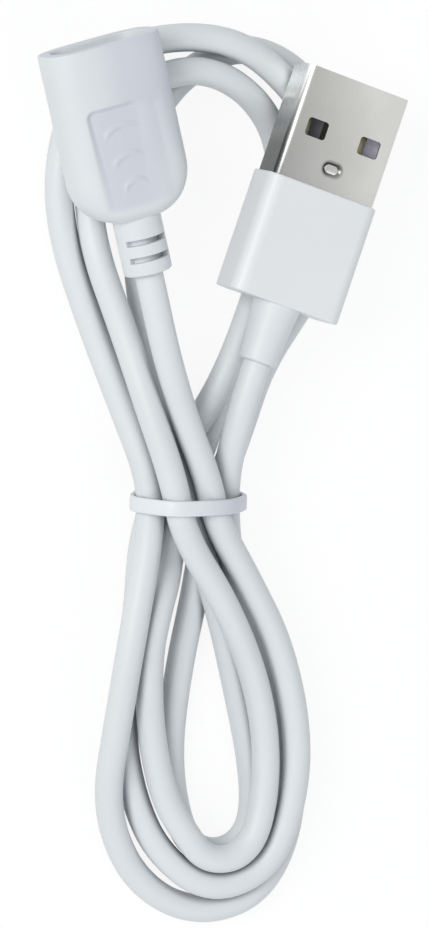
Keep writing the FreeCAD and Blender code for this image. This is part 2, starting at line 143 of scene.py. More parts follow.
# %% [markdown]
# ## Helpers for the materials
#
# A finish could be painted or come from a picture. Noise on Object coordinates is used instead, because it
# needs no unwrapping and keeps its scale on every piece. Each helper adds a node and its links.

# %% Start of a material, coordinates and noise
finishes = {}


def start_material(name):
    """Keeps a new material by its slot's name, and returns its tree and shader."""
    finishes[name] = bpy.data.materials.new(name)
    finishes[name].use_nodes = True
    tree = finishes[name].node_tree
    return tree, tree.nodes["Principled BSDF"]


def object_coordinates(tree):
    """Coordinates of the object that wears the material, in metres."""
    return tree.nodes.new("ShaderNodeTexCoord").outputs["Object"]


def noise(tree, source, scale, detail=3.0, rough=0.55):
    """Noise factor, with its scale per metre."""
    node = tree.nodes.new("ShaderNodeTexNoise")
    node.inputs["Scale"].default_value = scale
    node.inputs["Detail"].default_value = detail
    node.inputs["Roughness"].default_value = rough
    tree.links.new(source, node.inputs["Vector"])
    return node.outputs["Fac"]


# %% Colours and numbers from a factor
def ramp(tree, factor, low, high, start=0.3, end=0.7):
    """Colour that goes from low to high as the factor goes from start to end."""
    node = tree.nodes.new("ShaderNodeValToRGB")
    node.color_ramp.elements[0].position = start
    node.color_ramp.elements[0].color = (*low, 1.0)
    node.color_ramp.elements[1].position = end
    node.color_ramp.elements[1].color = (*high, 1.0)
    tree.links.new(factor, node.inputs["Fac"])
    return node.outputs["Color"]


def spread(tree, factor, low, high, start=0.3, end=0.7):
    """Number that goes from low to high as the factor goes from start to end."""
    node = tree.nodes.new("ShaderNodeMapRange")
    node.inputs["From Min"].default_value = start
    node.inputs["From Max"].default_value = end
    node.inputs["To Min"].default_value = low
    node.inputs["To Max"].default_value = high
    tree.links.new(factor, node.inputs["Value"])
    return node.outputs["Result"]


# %% Tints, and the links to a shader
def tinted(tree, colour, factor, tint):
    """Multiplies a colour by a tint where the factor is 1."""
    node = tree.nodes.new("ShaderNodeMix")
    node.data_type = "RGBA"
    node.blend_type = "MULTIPLY"
    tree.links.new(factor, node.inputs[0])
    tree.links.new(colour, node.inputs[6])
    node.inputs[7].default_value = (*tint, 1.0)
    return node.outputs[2]


def painted(tree, name):
    """Factor kept on the points of a mesh under a name, 0 where a mesh has none."""
    node = tree.nodes.new("ShaderNodeAttribute")
    node.attribute_name = name
    return node.outputs["Fac"]


def dress(tree, shader, colour, grain, rough, strength, height):
    """Gives a shader its colour, and the roughness and relief, in metres, of its grain."""
    node = tree.nodes.new("ShaderNodeBump")
    node.inputs["Strength"].default_value = strength
    node.inputs["Distance"].default_value = height
    tree.links.new(grain, node.inputs["Height"])
    tree.links.new(node.outputs["Normal"], shader.inputs["Normal"])
    tree.links.new(spread(tree, grain, *rough), shader.inputs["Roughness"])
    tree.links.new(colour, shader.inputs["Base Color"])


# %% [markdown]
# ## The plastics
#
# The cord's jacket, the mouldings and the band are white plastics that differ in gloss. One recipe serves
# them all: a slow drift of the colour, a fine moulded grain in the bump, and a roughness that wanders a
# little. Two painted factors, panel and slot, add painted shade where a mesh carries them, and an Ambient
# Occlusion node paints shade into the narrow creases where two strands touch.

# %% Painted shade in creases
CREASE_REACH = 0.0016
CREASE_SAMPLES = 8
CREASE_FULL = 0.15
CREASE_NONE = 0.7


def crease_shade_factor(tree):
    """Factor of painted shade, 1 deep in a narrow crease between two surfaces."""
    node = tree.nodes.new("ShaderNodeAmbientOcclusion")
    node.samples = CREASE_SAMPLES
    node.inputs["Distance"].default_value = CREASE_REACH
    return spread(tree, node.outputs["AO"], 1.0, 0.0, CREASE_FULL, CREASE_NONE)


# %% Recipe for a moulded plastic
PANEL_SHADE_TINT = (0.89, 0.88, 0.935)
SLOT_SHADE_TINT = (0.46, 0.47, 0.49)
CREASE_SHADE_TINT = (0.45, 0.46, 0.48)
SHALLOW_CREASE_SHADE_TINT = (0.96, 0.965, 0.97)
PLASTIC_IOR = 1.47
GRAIN_STRENGTH = 0.35
GRAIN_RELIEF = 0.000012
COAT_ROUGHNESS = 0.22


def plastic(name, low, high, rough, drift, grain, relief=GRAIN_RELIEF, coat=0.0, crease=CREASE_SHADE_TINT):
    """Moulded plastic with drifting colour, grain, a wandering roughness, and painted shade in panels, slots
    and creases.
    """
    tree, shader = start_material(name)
    source = object_coordinates(tree)
    slow = noise(tree, source, drift, detail=2.0)
    fine = noise(tree, source, grain, detail=4.0, rough=0.6)
    colour = ramp(tree, slow, low, high)
    # Painted shade where a mesh carries the panel or the slot factor.
    colour = tinted(tree, colour, painted(tree, "panel"), PANEL_SHADE_TINT)
    colour = tinted(tree, colour, painted(tree, "slot"), SLOT_SHADE_TINT)
    # Painted shade in narrow creases, from an Ambient Occlusion node.
    colour = tinted(tree, colour, crease_shade_factor(tree), crease)
    dress(tree, shader, colour, fine, rough, GRAIN_STRENGTH, relief)
    shader.inputs["IOR"].default_value = PLASTIC_IOR
    shader.inputs["Coat Weight"].default_value = coat
    shader.inputs["Coat Roughness"].default_value = COAT_ROUGHNESS


# %% The white plastics
plastic("cord_white", (0.752, 0.775, 0.793), (0.80, 0.823, 0.841), (0.38, 0.5), 45.0, 1500.0)
plastic(
    "soft_white", (0.755, 0.78, 0.798), (0.795, 0.82, 0.838), (0.36, 0.5), 80.0, 3200.0, crease=SHALLOW_CREASE_SHADE_TINT
)
plastic(
    "gloss_white", (0.835, 0.85, 0.86), (0.86, 0.875, 0.885), (0.40, 0.46), 70.0, 4000.0,
    relief=0.000001, coat=0.06,
)
plastic("tie_white", (0.80, 0.83, 0.855), (0.84, 0.865, 0.885), (0.32, 0.42), 120.0, 2200.0)
print("white plastics", list(finishes))

# %% The plastics inside the two ends
plastic("insert_grey", (0.28, 0.29, 0.31), (0.36, 0.37, 0.40), (0.45, 0.6), 150.0, 2500.0)
plastic("inner_mould", (0.60, 0.60, 0.57), (0.68, 0.68, 0.65), (0.5, 0.65), 150.0, 1800.0)
plastic("wire_red", (0.36, 0.01, 0.01), (0.46, 0.02, 0.02), (0.35, 0.5), 300.0, 3000.0)
plastic("wire_black", (0.010, 0.010, 0.011), (0.02, 0.02, 0.022), (0.35, 0.5), 300.0, 3000.0)
print("plastics", len(finishes))

# %% [markdown]
# ## The metals
#
# The plug's shell is rolled, plated sheet. A Mapping node turns the coordinates into the plug's own frame.
# There the grain is drawn out along the sheet, and a slow change across it is a painted reflection, darker
# towards the left and the cover. The narrow side takes painted shade near the cover and a painted highlight
# near the tip, and a painted factor draws a line of shade round the pressed oval. The tongue is painted from
# a shaded colour on one side to a lit colour on the other.

# %% Recipe for what lies in the plug's frame
def plug_coordinates(tree):
    """Object coordinates turned into the plug's own frame, in metres."""
    into_plug = plug_frame.inverted()
    node = tree.nodes.new("ShaderNodeMapping")
    node.inputs["Location"].default_value = into_plug.translation * MM
    node.inputs["Rotation"].default_value = into_plug.to_euler()
    tree.links.new(object_coordinates(tree), node.inputs["Vector"])
    return node.outputs["Vector"]


def plug_run(tree, local, per_metre, start=-0.5, end=0.5):
    """Factor from 0 to 1 over a slanted run of the plug, given as change per metre."""
    node = tree.nodes.new("ShaderNodeVectorMath")
    node.operation = "DOT_PRODUCT"
    node.inputs[1].default_value = per_metre
    tree.links.new(local, node.inputs[0])
    return spread(tree, node.outputs["Value"], 0.0, 1.0, start, end)


# %% Recipe for rolled sheet
SHEET_STRETCH = (1.0, 0.12, 1.0)
SHEET_REFLECTION_RUN = (70.0, 30.0, 0.0)
SHEET_STRENGTH = 0.25
SHEET_RELIEF = 0.000003
CLOUD_SCALE = 160.0
CLOUD_TINT = (0.93, 0.93, 0.92)
SIDE_SHADE = (0.38, 0.385, 0.40)
SIDE_SHADE_RUN = (-2500.0, -190.0, 0.0)
SIDE_SHADE_RANGE = (13.75, 14.9)
TIP_HIGHLIGHT = (2.6, 2.6, 2.62)
TIP_HIGHLIGHT_RUN = (-6000.0, 190.0, 0.0)
TIP_HIGHLIGHT_RANGE = (38.4, 39.3)
GROOVE_SHADE_TINT = (0.06, 0.06, 0.06)


def metal(name, low, high, rough, grain, relief=SHEET_RELIEF):
    """Rolled sheet: grain drawn out along the strip, with painted reflection, shade and highlight on it."""
    tree, shader = start_material(name)
    local = plug_coordinates(tree)
    stretch = tree.nodes.new("ShaderNodeMapping")
    stretch.inputs["Scale"].default_value = SHEET_STRETCH
    tree.links.new(local, stretch.inputs["Vector"])
    drawn = noise(tree, stretch.outputs["Vector"], grain, detail=5.0, rough=0.7)
    cloudy = noise(tree, local, CLOUD_SCALE)
    # Painted reflection: darker towards the left and the cover, lighter towards the right and the tip.
    colour = ramp(tree, plug_run(tree, local, SHEET_REFLECTION_RUN), low, high, 0.0, 1.0)
    colour = tinted(tree, colour, spread(tree, cloudy, 0.0, 1.0), CLOUD_TINT)
    # Painted shade on the narrow side near the cover.
    colour = tinted(tree, colour, plug_run(tree, local, SIDE_SHADE_RUN, *SIDE_SHADE_RANGE), SIDE_SHADE)
    # Painted highlight on the narrow side near the tip.
    colour = tinted(tree, colour, plug_run(tree, local, TIP_HIGHLIGHT_RUN, *TIP_HIGHLIGHT_RANGE), TIP_HIGHLIGHT)
    # Painted shade in the line round the pressed oval.
    colour = tinted(tree, colour, painted(tree, "groove"), GROOVE_SHADE_TINT)
    dress(tree, shader, colour, drawn, rough, SHEET_STRENGTH, relief)
    shader.inputs["Metallic"].default_value = 1.0


# %% The shell and the contacts
metal("nickel_steel", (0.325, 0.328, 0.318), (0.66, 0.663, 0.642), (0.24, 0.34), 1500.0, relief=0.000002)
metal("contact_gold", (0.10, 0.09, 0.06), (0.46, 0.43, 0.30), (0.28, 0.42), 1600.0)

# %% The tongue
TONGUE_SHADED = (0.07, 0.065, 0.07)
TONGUE_LIT = (0.80, 0.77, 0.92)
TONGUE_RUN = (130.0, 0.0, 0.0)
TONGUE_GRAIN = 2500.0
TONGUE_ROUGH = (0.4, 0.55)
TONGUE_RELIEF = 0.00001

# Painted light: the tongue goes from a shaded colour on one side to a lit colour on the other.
tongue_tree, tongue_shader = start_material("tongue_grey")
tongue_across = plug_run(tongue_tree, plug_coordinates(tongue_tree), TONGUE_RUN)
tongue_colour = ramp(tongue_tree, tongue_across, TONGUE_SHADED, TONGUE_LIT, 0.0, 1.0)
tongue_fine = noise(tongue_tree, object_coordinates(tongue_tree), TONGUE_GRAIN, detail=4.0)
dress(tongue_tree, tongue_shader, tongue_colour, tongue_fine, TONGUE_ROUGH, GRAIN_STRENGTH, TONGUE_RELIEF)
print("finishes", len(finishes))

# %% [markdown]
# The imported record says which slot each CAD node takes, so every node gets its material here. The nodes
# that show are replaced by finer meshes further down; the inner ones stay as they are.

# %% Materials onto the CAD nodes
node_slots = {entry["node"]: entry["material_slot"] for entry in frame["record"]["subparts"]}
for node_name, node_object in frame["nodes"].items():
    node_object.data.materials.clear()
    node_object.data.materials.append(finishes[node_slots[node_name]])
print("dressed", len(frame["nodes"]), "nodes")

# %% [markdown]
# ## The cord
#
# The jacket is a round tube about 0.79 m long. A mesh tube would need its own bends worked out, so it is a
# curve with a round bevel: a NURBS spline of order 3 takes the route's points as its control points and
# rounds every turn by itself. The order is set last, because it can't exceed the number of points.

# %% One spline with a round bevel
def add_object(name, data):
    """A new object in the scene."""
    thing = bpy.data.objects.new(name, data)
    bpy.context.scene.collection.objects.link(thing)
    return thing


cord_curve = bpy.data.curves.new("cable_cord", "CURVE")
cord_curve.dimensions = "3D"
cord_curve.bevel_depth = CORD_R * MM
cord_curve.bevel_resolution = 7
cord_curve.resolution_u = 8
cord_curve.use_fill_caps = True
line = cord_curve.splines.new("NURBS")
line.points.add(len(ROUTE) - 1)
for control, point in zip(line.points, ROUTE):
    control.co = (point[0] * MM, point[1] * MM, point[2] * MM, 1.0)
line.order_u = 3
line.use_endpoint_u = True
line.use_smooth = True
cable_cord = add_object("cable_cord", cord_curve)
cord_curve.materials.append(finishes["cord_white"])
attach(cable_cord, "root")
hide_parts("cable_jacket")
print("cord spline length", round(line.calc_length(), 4), "m")

# %% [markdown]
# ## Helpers for the meshes
#
# Every other piece is a bmesh that starts as a simple shape and is worked by operators, as in edit mode.
# When it is done, its doubles are merged, its normals are turned outwards, and it is moved to its place
# and scaled to metres.

# %% Finish a mesh and put it on the part
MERGE_DISTANCE = 0.0005


def finish_piece(name, build, place, slot, nodes):
    """Turns a bmesh in millimetres into a smooth piece that replaces CAD nodes."""
    bmesh.ops.remove_doubles(build, verts=build.verts, dist=MERGE_DISTANCE)
    bmesh.ops.transform(build, matrix=Matrix.Scale(MM, 4) @ place, verts=build.verts)
    bmesh.ops.recalc_face_normals(build, faces=build.faces)
    mesh = bpy.data.meshes.new(name)
    build.to_mesh(mesh)
    build.free()
    mesh.shade_smooth()
    piece = add_object(name, mesh)
    mesh.materials.append(finishes[slot])
    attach(piece, "root")
    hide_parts(*nodes)
    print(name, len(mesh.vertices), "points", len(mesh.polygons), "faces")
    return piece


def even_normals(piece):
    """Large flat faces keep their own normal beside a narrow rounded edge."""
    weighting = piece.modifiers.new("even_normals", "WEIGHTED_NORMAL")
    weighting.weight = 50
    weighting.keep_sharp = True


def soften(piece, name, width, segments, degrees):
    """Rounds the edges of a finished piece that are sharper than an angle."""
    bevel = piece.modifiers.new(name, "BEVEL")
    bevel.width = width * MM
    bevel.segments = segments
    bevel.limit_method = "ANGLE"
    bevel.angle_limit = math.radians(degrees)


# %% Edges, points and rows of a bmesh
ALIGNED = 0.9


def round_edges(build, edges, radius, segments):
    """Rounds edges off by a radius."""
    bmesh.ops.bevel(
        build, geom=edges, offset=radius, segments=segments, profile=0.5, affect="EDGES",
        clamp_overlap=True, material=-1,
    )


def along(edge):
    """Direction of an edge, as a unit vector."""
    return (edge.verts[1].co - edge.verts[0].co).normalized()


def edges_along_y(build):
    """Edges that run along the Y axis."""
    return [e for e in build.edges if abs(along(e).y) > ALIGNED]


def points_in(geometry):
    """Points among the geometry that an operator returns."""
    return [g for g in geometry if isinstance(g, bmesh.types.BMVert)]


def next_row(build, edges, stretch=(1.0, 1.0, 1.0), move=(0.0, 0.0, 0.0)):
    """Extrudes a loop of edges, stretches and moves the new loop, and returns its points and edges."""
    grown = bmesh.ops.extrude_edge_only(build, edges=edges)["geom"]
    points = points_in(grown)
    bmesh.ops.scale(build, verts=points, vec=stretch)
    bmesh.ops.translate(build, verts=points, vec=move)
    return points, [g for g in grown if isinstance(g, bmesh.types.BMEdge)]


# %% [markdown]
# ## The band
#
# The band is a strip of soft plastic pulled tight round the waist of the hank. A strip pulled tight over
# round strands runs where their convex hull does. So a short cylinder stands in for each outer strand, and
# the convex_hull operator wraps them. The outline of one end is kept, evened out, extruded across the width
# of the strip and given a thickness.

# %% The strands that the band is pulled over
TIE_CENTRES = [(-4.5, 2.4), (3.55, 2.4), (3.2, 6.1), (0.65, 8.65), (-4.3, 9.0), (-6.1, 5.55)]
TIE_Y = -2.2
TIE_WIDTH = 1.7
TIE_THICK = 0.6
TIE_GAP = 0.05
TIE_OUTER_R = CORD_R + TIE_GAP + TIE_THICK

tie_build = bmesh.new()
laid_along_y = Matrix.Rotation(math.radians(90), 4, "X")
for centre_x, centre_z in TIE_CENTRES:
    bmesh.ops.create_cone(
        tie_build, cap_ends=True, segments=64, radius1=TIE_OUTER_R, radius2=TIE_OUTER_R, depth=TIE_WIDTH,
        matrix=Matrix.Translation((centre_x, TIE_Y, centre_z)) @ laid_along_y,
    )
wrapped = bmesh.ops.convex_hull(tie_build, input=tie_build.verts)
inner_points = set(points_in(wrapped["geom_interior"] + wrapped["geom_unused"]))
bmesh.ops.delete(tie_build, geom=list(inner_points), context="VERTS")
print("points inside the hull", len(inner_points))

# %% The outline of one end, evened out
TIE_LONG_EDGE = 0.4
TIE_CUTS = 9
TIE_SMOOTHING = 40

tie_build.normal_update()
bmesh.ops.delete(tie_build, geom=[v for v in tie_build.verts if v.co.y < TIE_Y], context="VERTS")
end_face = bmesh.ops.dissolve_faces(tie_build, faces=tie_build.faces[:])["region"][0]
end_edges = end_face.edges[:]
bmesh.ops.delete(tie_build, geom=[end_face], context="FACES_ONLY")
long_edges = [e for e in end_edges if e.calc_length() > TIE_LONG_EDGE]
bmesh.ops.subdivide_edges(tie_build, edges=long_edges, cuts=TIE_CUTS)
for turn in range(TIE_SMOOTHING):
    bmesh.ops.smooth_vert(
        tie_build, verts=tie_build.verts, factor=0.5, use_axis_x=True, use_axis_y=True, use_axis_z=True
    )
print("points round the band", len(tie_build.verts))


# %% The strip's width, painted shade, thickness and soft edges
def limited(value):
    """The value, kept between 0 and 1."""
    return min(max(value, 0.0), 1.0)


TIE_SHADE_X = -2.0
TIE_SHADE_W = 3.0
TIE_EDGE_R = 0.22

next_row(tie_build, tie_build.edges[:], move=(0.0, -TIE_WIDTH, 0.0))
# The band's right end takes painted shade through the panel factor.
tie_shade_layer = tie_build.verts.layers.float.new("panel")
for point in tie_build.verts:
    point[tie_shade_layer] = limited((point.co.x - TIE_SHADE_X) / TIE_SHADE_W)
tie_band = finish_piece("tie_band", tie_build, Matrix.Identity(4), "tie_white", ["cable_tie"])
strip = tie_band.modifiers.new("strip", "SOLIDIFY")
strip.thickness = TIE_THICK * MM
strip.offset = -1.0
soften(tie_band, "soft_edges", TIE_EDGE_R, segments=4, degrees=60)
even_normals(tie_band)

# %% [markdown]
# ## The plug's cover
#
# The cover is a flat white box with round long edges and tight rims, glossy on the real plug. A cube with
# bevelled edges gives it. The front is inset and pushed in as far as the back wall, so that the cover is
# hollow and the metal closes its front.

# %% Box, long edges and rims
def box_between(width, height, back, front):
    """A bmesh of a box that reaches from one distance along Y to another."""
    build = bmesh.new()
    place = Matrix.Translation((0.0, (back + front) / 2, 0.0))
    place = place @ Matrix.Diagonal((width, front - back, height, 1.0))
    bmesh.ops.create_cube(build, size=1.0, matrix=place)
    return build


COVER_W = 13.6
COVER_H = 6.2
COVER_L = 13.3
COVER_CORNER_R = 1.6
COVER_RIM_R = 0.2

cover_build = box_between(COVER_W, COVER_H, -COVER_L, 0.0)
round_edges(cover_build, edges_along_y(cover_build), COVER_CORNER_R, segments=10)
cover_rims = [e for e in cover_build.edges if abs(along(e).y) < 1 - ALIGNED]
round_edges(cover_build, cover_rims, COVER_RIM_R, segments=4)
print("edges of the cover's rims", len(cover_rims))

# %% Hollow for the metal
SHELL_W = 12.0
SHELL_H = 4.5
COVER_LIP = 0.05
COVER_BACK_WALL = 1.8
FLAT = 0.99

cover_build.normal_update()
front = max((f for f in cover_build.faces if f.normal.y > FLAT), key=lambda f: f.calc_area())
lip_inset = (COVER_W - SHELL_W) / 2 - COVER_RIM_R - 2 * COVER_LIP
for inset, sink in ((lip_inset, 0.0), (COVER_LIP, -COVER_LIP)):
    bmesh.ops.inset_region(
        cover_build, faces=[front], use_boundary=True, use_even_offset=True, thickness=inset, depth=sink
    )
pushed = bmesh.ops.extrude_face_region(cover_build, geom=[front])["geom"]
bmesh.ops.translate(cover_build, verts=points_in(pushed), vec=(0.0, COVER_BACK_WALL - COVER_L, 0.0))
bmesh.ops.delete(cover_build, geom=[front], context="FACES_ONLY")
plug_housing = finish_piece("plug_housing", cover_build, plug_frame, "gloss_white", ["plug_cover"])
even_normals(plug_housing)

# %% [markdown]
# ## The plug's collar
#
# A soft collar leads the cord out of the cover. It is round and narrows in a shallow hollow curve, so one
# side of its section is drawn as an outline of a few points, and spin turns it about the cord.

# %% Spin and rounded rims
def turned(build, section, steps):
    """Spins a closed outline of (radius, y) points round the Y axis."""
    points = [build.verts.new((radius, y, 0.0)) for radius, y in section]
    edges = [build.edges.new(pair) for pair in zip(points, points[1:] + points[:1])]
    bmesh.ops.spin(
        build, geom=points + edges, cent=(0.0, 0.0, 0.0), axis=(0.0, 1.0, 0.0), angle=2 * math.pi,
        steps=steps, use_merge=True, dvec=(0.0, 0.0, 0.0),
    )


def rim_points(outer_r, end_y, rim_r):
    """Quarter round from the side of a turned piece to its end at the lower y."""
    turns = [math.radians(angle) for angle in (0, 18, 36, 54, 72, 90)]
    return [(outer_r - rim_r + rim_r * math.cos(a), end_y + rim_r - rim_r * math.sin(a)) for a in turns]


# %% The collar
COLLAR_NECK_R = 2.5
COLLAR_NECK_L = 1.0
COLLAR_TOP_R = 2.7
COLLAR_END_R = 2.1
COLLAR_L = 6.6
COLLAR_RIM_R = 0.25
COLLAR_HOLLOW = 0.06
COLLAR_STEPS = 16
SLIDE_GAP = 0.05
BORE_R = CORD_R + SLIDE_GAP

collar_start = -COVER_L + COLLAR_NECK_L
collar_end = -COVER_L - COLLAR_L
collar_section = [(COLLAR_NECK_R, collar_start), (COLLAR_NECK_R, -COVER_L), (COLLAR_TOP_R, -COVER_L)]
for step in range(1, COLLAR_STEPS):
    share = step / COLLAR_STEPS
    straight_r = COLLAR_TOP_R + (COLLAR_END_R - COLLAR_TOP_R) * share
    hollow_r = straight_r - COLLAR_HOLLOW * math.sin(math.pi * share)
    collar_section.append((hollow_r, -COVER_L - (COLLAR_L - COLLAR_RIM_R) * share))
collar_section += rim_points(COLLAR_END_R, collar_end, COLLAR_RIM_R)
collar_section += [(BORE_R, collar_end), (BORE_R, collar_start)]
collar_build = bmesh.new()
turned(collar_build, collar_section, steps=72)
plug_collar = finish_piece("plug_collar", collar_build, plug_frame, "soft_white", ["plug_strain_relief"])
plug_collar.data.set_sharp_from_angle(angle=math.radians(50))

# %% [markdown]
# ## The metal shell
#
# The shell is one sheet folded to a flat tube, with a seam underneath, two windows above and below, and a
# pressed oval near the cover. It starts as an open box with rounded folds. Bisecting planes mark the cuts,
# faces are deleted to open them, and solidify thickens the sheet outwards. The window corners can only be
# rounded after that, when they have upright edges to bevel.

# %% Open box with rounded folds
SHELL_OUT = 12.4
SHELL_IN = 6.0
SHELL_FOLD_R = 0.6

shell_build = box_between(SHELL_W, SHELL_H, -SHELL_IN, SHELL_OUT)
open_ends = [f for f in shell_build.faces if abs(f.normal.y) > FLAT]
bmesh.ops.delete(shell_build, geom=open_ends, context="FACES_ONLY")
round_edges(shell_build, edges_along_y(shell_build), SHELL_FOLD_R, segments=8)
print("faces of the folded tube", len(shell_build.faces))


# %% Cuts for the windows and the seam
WINDOW_X = 3.3
WINDOW_Y = 6.0
WINDOW_W = 2.5
WINDOW_L = 2.0
SEAM_HALF = 0.06


def cut_across(build, faces, point, direction):
    """Bisects some faces by a plane, without removing anything."""
    around = set(faces)
    for face in faces:
        around.update(face.edges)
        around.update(face.verts)
    bmesh.ops.bisect_plane(build, geom=list(around), plane_co=point, plane_no=direction, dist=0.0001)


def flat_faces(build, level):
    """Faces of the broad side whose height has the same sign as level."""
    build.normal_update()
    return [f for f in build.faces if f.normal.z * level > FLAT]


for level in (1.0, -1.0):
    for side in (-1, 1):
        for edge in (-WINDOW_W / 2, WINDOW_W / 2):
            place = (side * WINDOW_X + edge, 0.0, 0.0)
            cut_across(shell_build, flat_faces(shell_build, level), place, (1, 0, 0))
    for edge in (-WINDOW_L / 2, WINDOW_L / 2):
        cut_across(shell_build, flat_faces(shell_build, level), (0.0, WINDOW_Y + edge, 0.0), (0, 1, 0))
for edge in (-SEAM_HALF, SEAM_HALF):
    cut_across(shell_build, flat_faces(shell_build, -1.0), (edge, 0.0, 0.0), (1, 0, 0))


# %% Open the windows and the seam
def is_open(face):
    """True for a face inside a window or the seam."""
    middle = face.calc_center_median()
    in_window = abs(abs(middle.x) - WINDOW_X) < WINDOW_W / 2 and abs(middle.y - WINDOW_Y) < WINDOW_L / 2
    in_seam = abs(middle.x) < SEAM_HALF and middle.z < 0
    return abs(face.normal.z) > FLAT and (in_window or in_seam)


shell_build.normal_update()
opened = [f for f in shell_build.faces if is_open(f)]
print("faces taken out", len(opened))
bmesh.ops.delete(shell_build, geom=opened, context="FACES")

# %% [markdown]
# The oval is pressed into the sheet, with a steep wall round a slightly crowned floor. A fine grid is cut
# into the sheet there, and its points are pushed down by a smooth profile.

# %% A fine grid for the pressed oval
DIMPLE_Y = 2.4
DIMPLE_GRID = 0.1
DIMPLE_CUTS_X = 17
DIMPLE_CUTS_Y = 11


def near_dimple(build):
    """Faces of the upper side between the windows and the cover."""
    found = []
    for face in flat_faces(build, 1.0):
        middle = face.calc_center_median()
        if abs(middle.x) < WINDOW_X - WINDOW_W / 2 and middle.y < WINDOW_Y - WINDOW_L / 2:
            found.append(face)
    return found


for step in range(-DIMPLE_CUTS_X, DIMPLE_CUTS_X + 1):
    cut_across(shell_build, near_dimple(shell_build), (step * DIMPLE_GRID, 0.0, 0.0), (1, 0, 0))
for step in range(-DIMPLE_CUTS_Y, DIMPLE_CUTS_Y + 1):
    cut_across(shell_build, near_dimple(shell_build), (0.0, DIMPLE_Y + step * DIMPLE_GRID, 0.0), (0, 1, 0))
print("faces round the oval", len(near_dimple(shell_build)))


# %% Press the oval
DIMPLE_W = 2.3
DIMPLE_L = 1.5
DIMPLE_DEPTH = 0.26
DIMPLE_REACH = 1.25
DIMPLE_FLOOR = 0.62
NEAR = 0.01


def ease(value):
    """Smooth step from 0 to 1."""
    value = limited(value)
    return value * value * (3 - 2 * value)


def dimple_away(x, y):
    """Distance from the middle line of the oval, 1 on its outline."""
    past_middle = max(abs(x) - (DIMPLE_W - DIMPLE_L) / 2, 0.0)
    return math.hypot(past_middle, y - DIMPLE_Y) / (DIMPLE_L / 2)


def dimple_drop(away):
    """Depth of the pressed oval at a distance from its middle line."""
    if away >= DIMPLE_FLOOR:
        return DIMPLE_DEPTH * ease((DIMPLE_REACH - away) / (DIMPLE_REACH - DIMPLE_FLOOR))
    return DIMPLE_DEPTH * (0.5 + 0.5 * (away / DIMPLE_FLOOR) ** 2)


for point in shell_build.verts:
    if point.co.z > SHELL_H / 2 - NEAR:
        point.co.z -= dimple_drop(dimple_away(point.co.x, point.co.y))
print("pressed oval", DIMPLE_W, "by", DIMPLE_L, "mm,", DIMPLE_DEPTH, "mm deep")

# %% Painted shade round the oval
GROOVE_AT = 0.92
GROOVE_W = 0.3
GROOVE_FLAT = 1.5
GROOVE_MIDDLE = 0.9
GROOVE_BY_X = -0.22
GROOVE_BY_Y = 0.25
GROOVE_LEAST = 0.55


def groove_shade(x, y):
    """Factor of the painted shade round the oval, strongest at its upper left."""
    shade = ease(GROOVE_FLAT - abs(dimple_away(x, y) - GROOVE_AT) / GROOVE_W)
    strength = GROOVE_MIDDLE + GROOVE_BY_X * x + GROOVE_BY_Y * (y - DIMPLE_Y)
    return shade * min(max(strength, GROOVE_LEAST), 1.0)


groove_shade_layer = shell_build.verts.layers.float.new("groove")
for point in shell_build.verts:
    on_top = point.co.z > 0.0
    point[groove_shade_layer] = groove_shade(point.co.x, point.co.y) if on_top else 0.0
print("points in the dark line", sum(point[groove_shade_layer] > 0.5 for point in shell_build.verts))

# %% Thickness, window corners and sheared edges
SHELL_WALL = 0.3
WINDOW_R = 0.35
SHEARED_EDGE = 0.05

bmesh.ops.recalc_face_normals(shell_build, faces=shell_build.faces)
bmesh.ops.solidify(shell_build, geom=shell_build.faces[:], thickness=-SHELL_WALL)
bmesh.ops.recalc_face_normals(shell_build, faces=shell_build.faces)


def is_window_corner(edge):
    """True for an upright edge in a corner of a window."""
    middle = (edge.verts[0].co + edge.verts[1].co) / 2
    on_side = abs(abs(abs(middle.x) - WINDOW_X) - WINDOW_W / 2) < NEAR
    on_end = abs(abs(middle.y - WINDOW_Y) - WINDOW_L / 2) < NEAR
    return abs(along(edge).z) > ALIGNED and on_side and on_end


window_corners = [e for e in shell_build.edges if is_window_corner(e)]
print("window corners", len(window_corners))
round_edges(shell_build, window_corners, WINDOW_R, segments=5)
metal_shell = finish_piece("metal_shell", shell_build, plug_frame, "nickel_steel", ["plug_shell"])
soften(metal_shell, "sheared_edges", SHEARED_EDGE, segments=2, degrees=55)
even_normals(metal_shell)

# %% [markdown]
# ## The oval connector: body
#
# The connector is one soft moulding with an oval section, round shoulders and an open mouth. It could be a
# subdivided box, but its shallow grip needs many rows, so a ring is extruded row by row and scaled to the
# body's width and height. The ring is a circle pulled to a squarer oval.

# %% The ring at the mouth
SOCKET_W = 13.2
SOCKET_H = 7.6
SOCKET_L = 19.5
SHOULDER_R = 5.2
SHOULDER_SIDE_R = 2.2
SOCKET_RIM_R = 0.25
OVAL_POWER = 3.2
RING_POINTS = 280


def body_halves(back):
    """Half width and half height at a distance behind the mouth."""
    rim = max(SOCKET_RIM_R - back, 0.0)
    rim_inset = SOCKET_RIM_R - math.sqrt(SOCKET_RIM_R ** 2 - rim ** 2)
    past = max(back - (SOCKET_L - SHOULDER_R), 0.0)
    half_w = SOCKET_W / 2 - SHOULDER_R + math.sqrt(max(SHOULDER_R ** 2 - past ** 2, 0.0))
    past = max(back - (SOCKET_L - SHOULDER_SIDE_R), 0.0)
    half_h = SOCKET_H / 2 - SHOULDER_SIDE_R + math.sqrt(max(SHOULDER_SIDE_R ** 2 - past ** 2, 0.0))
    return half_w - rim_inset, half_h - rim_inset


